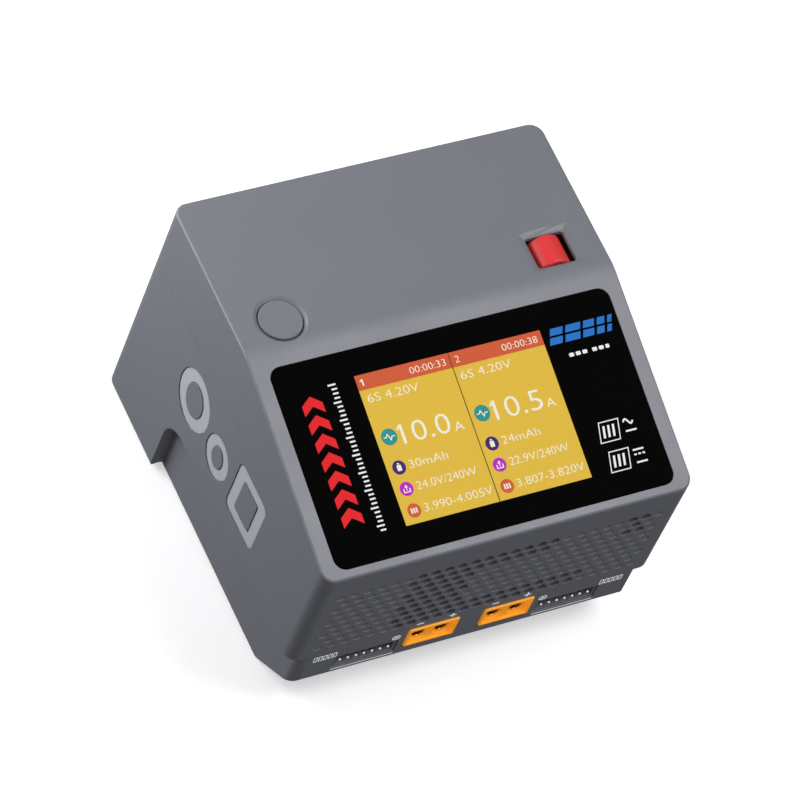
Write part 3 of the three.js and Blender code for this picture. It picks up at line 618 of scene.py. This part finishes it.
def area(x0, x1, s0, s1, radius=0.15):
    return prism(rounded(x1 - x0, s1 - s0, radius, (x0 + x1) / 2, -(s0 + s1) / 2, 3), "z", 0, 1)


def outline(points):
    return prism([(x, -s) for x, s in points], "z", 0, 1)


def slanted(x0, x1, s0, s1, lean):
    """A bar whose upper end is shifted by lean along x."""
    return outline([(x0, s1), (x1, s1), (x1 + lean, s0), (x0 + lean, s0)])


def stroke(points, width):
    """A line of even width through points (x, s), with mitred corners."""
    path = [Vector(p) for p in points]
    normals = []
    for before, after in zip(path, path[1:]):
        along = (after - before).normalized()
        normals.append(Vector((-along.y, along.x)))
    one_side, other_side = [], []
    for k, point in enumerate(path):
        before, after = normals[max(k - 1, 0)], normals[min(k, len(normals) - 1)]
        across = (before + after) * (width / 2) / (1 + before.dot(after))
        one_side.append(tuple(point + across))
        other_side.append(tuple(point - across))
    return outline(one_side + other_side[::-1])


def text(words, x, s, height, width, thin=0.012):
    """Characters from x to x + width with their baseline at s; height is that of a digit."""
    curve = bpy.data.curves.new("words", "FONT")
    curve.body = words
    curve.size = height / 0.7
    curve.offset = -thin * curve.size
    curve.resolution_u = 3
    curve.extrude = 0.5
    writing = bpy.data.objects.new("words", curve)
    bpy.context.scene.collection.objects.link(writing)
    graph = bpy.context.evaluated_depsgraph_get()
    mesh = bpy.data.meshes.new_from_object(writing.evaluated_get(graph))
    bm = bmesh.new()
    bm.from_mesh(mesh)
    bpy.data.objects.remove(writing)
    bpy.data.meshes.remove(mesh)
    bmesh.ops.remove_doubles(bm, verts=bm.verts, dist=1e-4)
    reach = [vert.co.x for vert in bm.verts]
    stretch = Matrix.Diagonal((width / (max(reach) - min(reach)), 1, 1, 1))
    return moved(bm, at(-min(reach), 0, 0.5), stretch, at(x, -s, 0))


# The lit screen: its sides and middle along x, its upper edges and its lower edge down the slope.
SCREEN_LEFT, SCREEN_MIDDLE, SCREEN_RIGHT = -29.0, -0.15, 28.6
SCREEN_TOP, HEADER_BOTTOM, SCREEN_BOTTOM = 12.85, 17.2, 56.2
CHANNEL_SHIFT = 28.7  # from the left half's readings to the right half's
field = area(SCREEN_LEFT, SCREEN_RIGHT, SCREEN_TOP, SCREEN_BOTTOM)
layer("screen_field", [field], screen_yellow, 1)
bars = [
    area(SCREEN_LEFT, SCREEN_MIDDLE - 0.1, SCREEN_TOP, HEADER_BOTTOM),
    area(SCREEN_MIDDLE + 0.1, SCREEN_RIGHT, SCREEN_TOP, HEADER_BOTTOM),
]
layer("screen_header", bars, screen_orange, 2)
divider = area(SCREEN_MIDDLE - 0.12, SCREEN_MIDDLE + 0.12, SCREEN_TOP, SCREEN_BOTTOM, 0.05)
layer("screen_divider", [divider], screen_line, 3)

readings = [
    (0.0, "1", "00:00:33", "6S 4.20V", "10.0", "30mAh", "24.0V/240W", "3.990-4.005V"),
    (CHANNEL_SHIFT, "2", "00:00:38", "6S 4.20V", "10.5", "24mAh", "22.9V/240W", "3.807-3.820V"),
]
words, discs = [], {"teal": [], "purple": [], "magenta": [], "orange": []}
for shift, channel, clock, cells, amps, charge, power, spread in readings:
    words.append(text(channel, -27.4 + shift, 16.1, 2.0, 1.3 if channel == "2" else 0.45))
    if channel == "1":
        words.append(stroke([(-27.9 + shift, 14.8), (-27.25 + shift, 14.2)], 0.28))
    words.append(text(clock, -12.8 + shift, 16.1, 2.0, 11.1))
    words.append(text(cells, -27.4 + shift, 21.0, 2.4, 15.6))
    words.append(text(amps, -21.4 + shift, 34.4, 5.9, 14.8, 0.008))
    words.append(stroke([(-22.2 + shift, 30.1), (-21.1 + shift, 28.85)], 0.5))
    words.append(text("A", -5.7 + shift, 34.4, 2.5, 2.9, 0.004))
    words.append(text(charge, -22.2 + shift, 41.2, 2.35, 11.8))
    words.append(text(power, -22.2 + shift, 47.4, 2.35, 18.4))
    words.append(text(spread, -22.2 + shift, 53.7, 2.35, 21.0))
    for colour, x, s, radius in (
        ("teal", -25.05, 31.4, 2.36),
        ("purple", -25.3, 40.2, 2.0),
        ("magenta", -25.3, 46.4, 2.0),
        ("orange", -25.3, 52.6, 2.0),
    ):
        discs[colour].append(prism(ellipse(x + shift, -s, 2 * radius, 2 * radius, 40), "z", 0, 1))
    x = -25.05 + shift
    beat = [(-1.7, 31.4), (-0.9, 31.4), (-0.4, 30.6), (0.3, 32.3), (0.8, 31.4), (1.7, 31.4)]
    words.append(stroke([(x + u, s) for u, s in beat], 0.28))
    x = -25.3 + shift
    words.append(area(x - 0.65, x + 0.65, 39.5, 41.2, 0.2))
    words.append(area(x - 0.3, x + 0.3, 38.95, 39.35, 0.05))
    words.append(stroke([(x - 0.9, 46.3), (x - 0.9, 47.3), (x + 0.9, 47.3), (x + 0.9, 46.3)], 0.3))
    words.append(outline([(x - 0.55, 46.0), (x + 0.55, 46.0), (x, 45.2)]))
    words.append(area(x - 0.12, x + 0.12, 45.9, 46.8, 0.02))
    for bar in (-0.75, 0, 0.75):
        words.append(area(x + bar - 0.22, x + bar + 0.22, 51.9, 53.4, 0.1))
layer("screen_icon_teal", discs["teal"], icon_teal, 2)
layer("screen_icon_purple", discs["purple"], icon_purple, 2)
layer("screen_icon_magenta", discs["magenta"], icon_magenta, 2)
layer("screen_icon_orange", discs["orange"], screen_orange, 2)
layer("screen_readings", words, screen_white, 4)

# Plain printed marks stand where the photographed cover glass has its lettering. They glow like the lit
# screen though they are only print: painted light.
red_marks = []
for k in range(7):
    s0 = 15.3 + 5.35 * k
    x0, xm, x1 = -46.5, -43.4, -40.3
    back_edge = [(x0, s0 + 5.2), (xm, s0 + 2.9), (x1, s0 + 5.2)]
    front_edge = [(x1, s0 + 2.3), (xm, s0), (x0, s0 + 2.3)]
    red_marks.append(outline(back_edge + front_edge))
layer("print_red_painted_glow", red_marks, print_red_painted_glow, 1)

white_marks = []
for k in range(34):
    s = 13.4 + 1.27 * k
    reach = 2.4 if k % 4 == 0 else 1.7
    white_marks.append(area(-34.9 - reach, -34.9, s, s + 0.5, 0.1))
for x0, x1 in ((34.7, 36.2), (36.8, 38.3), (38.9, 40.4), (42.0, 43.5), (44.1, 45.6), (46.2, 47.4)):
    white_marks.append(area(x0, x1, 21.2, 22.3, 0.3))
for s in (45.0, 53.6):
    outer_loop = [(34.6, -s - 3.0), (41.0, -s - 3.0), (42.3, -s + 3.0), (35.9, -s + 3.0)]
    inner_loop = [(34.97, -s - 2.7), (40.77, -s - 2.7), (41.93, -s + 2.7), (36.13, -s + 2.7)]
    white_marks.append(ring(outer_loop, inner_loop, "z", 0, 1))
    for k in range(3):
        white_marks.append(slanted(36.1 + 1.5 * k, 36.8 + 1.5 * k, s - 1.7, s + 1.7, 0.7))
wave = [(43.3 + 0.25 * k, 43.6 - 0.75 * math.sin(k * math.pi / 6)) for k in range(13)]
white_marks.append(stroke(wave, 0.5))
white_marks.append(area(43.2, 46.6, 46.0, 46.5, 0.1))
white_marks.append(area(43.2, 46.6, 51.6, 52.1, 0.1))
for x in (43.2, 44.5, 45.8):
    white_marks.append(area(x, x + 0.8, 52.9, 53.4, 0.1))
white_marks.append(area(43.2, 46.6, 55.2, 55.7, 0.1))
layer("print_white_painted_glow", white_marks, print_white_painted_glow, 1)

blue_marks = []
for x0, x1 in ((31.0, 35.0), (35.9, 40.6), (41.5, 45.0), (45.9, 48.3), (49.2, 50.6)):
    blue_marks.append(slanted(x0, x1, 13.3, 15.3, 0.8))
    blue_marks.append(slanted(x0 - 0.9, x1 - 0.9, 15.9, 17.9, 0.8))
layer("print_blue_painted_glow", blue_marks, print_blue_painted_glow, 1)

# ---------------------------------------------------------------- button and roller
QUARTER_TURN = (0, 0.39, 0.79, 1.18, 1.57)
button_low, button_high = box_mm("channel_button")
cap = [(2.0, button_low.z), (2.0, HEIGHT - 4.2), (7.4, HEIGHT - 4.2)]
cap += [(7.4, HEIGHT - 3.0), (BUTTON_R, HEIGHT - 2.9)]
for t in QUARTER_TURN:
    level = button_high.z + BUTTON_ROUND * (math.sin(t) - 1)
    cap.append((BUTTON_R + BUTTON_ROUND * (math.cos(t) - 1), level))
cap += [(4.5, button_high.z - 0.03), (2.2, button_high.z - 0.1), (0.4, button_high.z - 0.12)]
cap = solid("channel_button_looks", moved(spin(cap, 64), at(button_mm.x, button_mm.y, 0)))
finished(cap, "channel_button", button_plastic, ["channel_button"])

half = (roller_high.y - roller_low.y) / 2
roller_r = (roller_high.x - roller_low.x) / 2
rim = []
for t in QUARTER_TURN:
    rim.append((roller_r + ROLLER_ROUND * (math.sin(t) - 1), half + ROLLER_ROUND * (math.cos(t) - 1)))
drum = [(1.35, half)] + rim + [(r, -h) for r, h in reversed(rim)] + [(1.35, -half)]
drum = solid("scroll_roller_looks", moved(spin(drum, 72, tube=True), ALONG_Y, at(*roller_mm)))
finished(drum, "scroll_roller", red_plastic, ["scroll_roller"])

# ---------------------------------------------------------------- power sockets
def power_socket(node, contacts, mouth, inward):
    """A moulded socket open at y = mouth; inward is the direction of its depth."""
    low, high = box_mm(node)
    body = solid(f"{node}_looks", prism(socket_outline(node, 0), "y", low.y, high.y))
    round_edges(body, 0.3, 2)
    inner = socket_outline(node, -0.85, 0.25)
    a, b = sorted((mouth - inward, mouth + inward * 0.7))
    combine(body, prism(inner, "y", a, b))
    face = ALONG_Y if inward > 0 else ALONG_Y.inverted()
    bores = []
    for contact in contacts:
        place = centre_mm(contact)
        bore = spin([(3.0, -1), (3.0, 0.75), (2.75, 1.1), (2.75, 20)], 40)
        bores.append(moved(bore, face, at(place.x, mouth, place.z)))
        tube_low, tube_high = box_mm(contact)
        length = tube_high.y - tube_low.y
        tube = [(2.4, length), (2.4, 0.25), (2.2, 0.0), (1.95, 0.0)]
        tube += [(1.8, 0.3), (1.8, 10.6), (0.2, 10.7), (0.2, length)]
        start = tube_low.y if inward > 0 else tube_high.y
        pin = solid(f"{contact}_looks", moved(spin(tube, 36, tube=True), face, at(place.x, start, place.z)))
        finished(pin, "case", brass, [contact])
    combine(body, together(bores))
    finished(body, "case", amber_plastic, [node])


for side in ("left", "right"):
    tubes = [f"power_contact_{side}_{end}" for end in "ab"]
    power_socket(f"power_socket_{side}", tubes, box_mm(f"power_socket_{side}")[0].y, 1)
tubes = [f"dc_input_contact_{end}" for end in "ab"]
power_socket("dc_input_socket", tubes, box_mm("dc_input_socket")[1].y, -1)

# ---------------------------------------------------------------- balance socket pins
def balance_pins(node):
    """Seven round pins with domed tips on one carrier strip; the shafts carry painted shade, and the tips a
    white, glowing painted highlight.
    """
    low, high = box_mm(node)
    x, z = (low.x + high.x) / 2, (low.z + high.z) / 2
    strip = solid(f"{node}_looks", block(low.x, high.x, 8.9, high.y, low.z, high.z))
    places = [at(x + 2.5 * k, low.y, z) for k in range(-3, 4)]
    shaft = [(0.32, 0.5), (0.32, 9.2)]
    combine(strip, together([moved(spin(shaft, 16), ALONG_Y, place) for place in places]), "UNION")
    finished(strip, "case", pin_metal_painted_shade, [node])
    tip = [(0.08, 0.0), (0.24, 0.05), (0.36, 0.2), (0.36, 0.44), (0.3, 0.48)]
    tips = solid(f"{node}_tips", together([moved(spin(tip, 16), ALONG_Y, place) for place in places]))
    finished(tips, "case", tip_painted_highlight)


for side in ("left", "right"):
    balance_pins(f"balance_pins_{side}")

# ---------------------------------------------------------------- screws
def screw(node, head, shank, pose):
    """A pan head screw with a cross recess; pose puts its seat at the origin and its head along +z."""
    rings = [(1.45, -shank), (1.45, 0), (2.9, 0), (3.0, 0.12)]
    rings += [(3.0, head - 0.4), (2.6, head - 0.1), (1.2, head)]
    body = solid(f"{node}_looks", moved(spin(rings, 32), pose))
    arm, reach = 0.35, 1.5
    quarter = [(arm, -reach), (arm, -arm), (reach, -arm)]
    cross = []
    for turn in range(4):
        cross += [tuple(Matrix.Rotation(turn * math.pi / 2, 2) @ Vector(point)) for point in quarter]
    combine(body, moved(prism(cross, "z", head - 0.75, head + 1), pose))
    finished(body, "case", steel, [node])


for k in range(1, 5):
    low, high = box_mm(f"fan_screw_{k}")
    screw(f"fan_screw_{k}", 1.4, 10, at((low.x + high.x) / 2, high.y - 1.4, (low.z + high.z) / 2) @ ALONG_Y)
    low, high = box_mm(f"base_screw_{k}")
    seat = at((low.x + high.x) / 2, (low.y + high.y) / 2, low.z + 1.2)
    screw(f"base_screw_{k}", 1.2, high.z - low.z - 1.2, seat @ Matrix.Rotation(math.pi, 4, "X"))

# ---------------------------------------------------------------- small marks on the front
MARK_SPAN = (-0.03, 0.15)  # the marks' depth, from just in front of the face to just inside it


def mark(points):
    return prism(points, "y", *MARK_SPAN)


def mark_frame(x, z, width, height, radius, line, steps):
    """The outline of a rounded rectangle, drawn with that width of line."""
    outside = rounded(width, height, radius, x, z, steps)
    inside = rounded(width - 2 * line, height - 2 * line, max(0.1, radius - line), x, z, steps)
    return ring(outside, inside, "y", *MARK_SPAN)


def front_area(x0, x1, z0, z1, radius=0.1):
    return mark(rounded(x1 - x0, z1 - z0, radius, (x0 + x1) / 2, (z0 + z1) / 2, 2))


front_marks = []
for side, name in ((-1, "left"), (1, "right")):
    socket = centre_mm(f"power_socket_{name}")
    balance = centre_mm(f"balance_socket_{name}")
    top = box_mm(f"power_socket_{name}")[1].z + 1.2
    front_marks.append(front_area(socket.x - 6.2, socket.x - 4.0, top + 0.75, top + 1.15))
    front_marks.append(front_area(socket.x + 4.0, socket.x + 6.2, top + 0.75, top + 1.15))
    front_marks.append(front_area(socket.x + 4.9, socket.x + 5.3, top, top + 0.7))
    front_marks.append(front_area(socket.x + 4.9, socket.x + 5.3, top + 1.2, top + 1.9))
    middle = balance.x + 8.6 * -side
    front_marks.append(mark_frame(middle, 22.6, 2.6, 2.0, 0.9, 0.3, 4))
    front_marks.append(front_area(middle - 0.6, middle + 0.6, 22.4, 22.8))
    for k in range(5):
        x = side * 45.2 + (k - 2) * 1.5
        front_marks.append(mark_frame(x, 22.4, 1.2, 2.5, 0.25, 0.25, 2))
    front_marks.append(front_area(balance.x - 9.8, balance.x + 9.8, 13.85, 14.15))
# The front marks carry painted light: their print glows.
finished(solid("front_marks", together(front_marks)), "case", silk_white_painted_glow)

# ---------------------------------------------------------------- nodes that keep their CAD shape
FINISHES = {
    "black_plastic": (black_plastic, [
        "rear_panel", "ac_inlet", "fan_frame", "fan_rotor",
        "channel_switch", "roller_switch", "roller_carrier", "roller_encoder",
    ]),
    "circuit_board": (circuit_board, ["display_board", "control_board", "main_board"]),
    "steel": (steel, ["roller_axle", "ac_inlet_blades", "usb_port"]),
    "aluminium": (aluminium, ["heat_sink"]),
    "ferrite": (ferrite, ["transformer", "inductor_left", "inductor_right"]),
    "capacitor_sleeve": (sleeve, ["bulk_capacitor_front", "bulk_capacitor_rear"]),
    "lcd_panel": (lcd_back, ["lcd_module"]),
    "rubber": (rubber, [f"rubber_foot_{k}" for k in range(1, 5)]),
}
kept = [(node, name, used) for name, (used, nodes) in FINISHES.items() for node in nodes]
# The balance sockets are black plastic, shown in a lighter grey as painted light.
for side in ("left", "right"):
    kept.append((f"balance_socket_{side}", "black_plastic", socket_plastic_painted_light))
for node, slot_name, used in kept:
    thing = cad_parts[node]
    weld = thing.modifiers.new("weld", "WELD")
    weld.merge_threshold = 0.000002
    flat = thing.modifiers.new("flat", "DECIMATE")
    flat.decimate_type = "DISSOLVE"
    flat.angle_limit = math.radians(1)
    soft = thing.modifiers.new("soft", "BEVEL")
    soft.width = 0.00015
    soft.segments = 2
    soft.limit_method = "ANGLE"
    soft.angle_limit = math.radians(40)
    shade(thing, 35)
    wear(thing, used)

# ---------------------------------------------------------------- floor, light and camera
def stage_floor():
    bm = bmesh.new()
    bmesh.ops.create_grid(bm, x_segments=24, y_segments=24, size=6)
    for vert in bm.verts:
        vert.co.z = -0.0001
    sheet = solid("floor", bm)
    paper = finish(
        "paper", (232, 232, 233), 0.9, spread=0.01, grain=40, relief=0.0, specular=0.1, glow=0.55
    )
    sheet.data.materials.append(paper)
    return sheet


def softbox(name, place, target, size, power):
    data = bpy.data.lights.new(name, "AREA")
    data.shape = "RECTANGLE"
    data.size, data.size_y = size
    data.energy = power
    lamp = bpy.data.objects.new(name, data)
    lamp.location = place
    lamp.visible_camera = False
    lamp.rotation_euler = (Vector(target) - Vector(place)).to_track_quat("-Z", "Y").to_euler()
    bpy.context.scene.collection.objects.link(lamp)


floor = stage_floor()
floor.visible_diffuse = False
floor.visible_glossy = False
middle = (start_box[0] + start_box[1]) / 2


def around(direction, distance):
    return middle + Vector(direction).normalized() * distance


softbox("front_top", around((0.42, -0.2, 0.885), 1.5), middle, (0.8, 0.8), 14.2)
softbox("rear_left", around((-0.7, 0.62, 0.35), 0.36), middle, (0.25, 0.25), 1.25)
softbox("front_fill", around((-0.3, -0.8, 0.52), 1.2), middle, (0.8, 0.8), 2.3)

world = bpy.data.worlds.new("world")
bpy.context.scene.world = world
world.use_nodes = True
world.node_tree.nodes["Background"].inputs["Color"].default_value = (1, 1, 1, 1)
world.node_tree.nodes["Background"].inputs["Strength"].default_value = 0.12

camera = bpy.data.objects.new("camera", bpy.data.cameras.new("camera"))
bpy.context.scene.collection.objects.link(camera)
right = Vector((0.8773, -0.4076, 0.2535))
up = Vector((0.2241, 0.8148, 0.5347))
back = Vector((-0.4245, -0.4122, 0.8061))
standpoint = Matrix.Translation((-0.6468, -0.6301, 1.2646))
camera.matrix_world = standpoint @ Matrix((right, up, back)).transposed().to_4x4()
camera.data.sensor_width = 36
camera.data.lens = 246.27
camera.data.shift_x = -0.0006
camera.data.shift_y = 0.0391
camera.data.clip_start = 0.05
camera.data.clip_end = 50
bpy.context.scene.camera = camera
bpy.context.scene.view_settings.view_transform = "Standard"
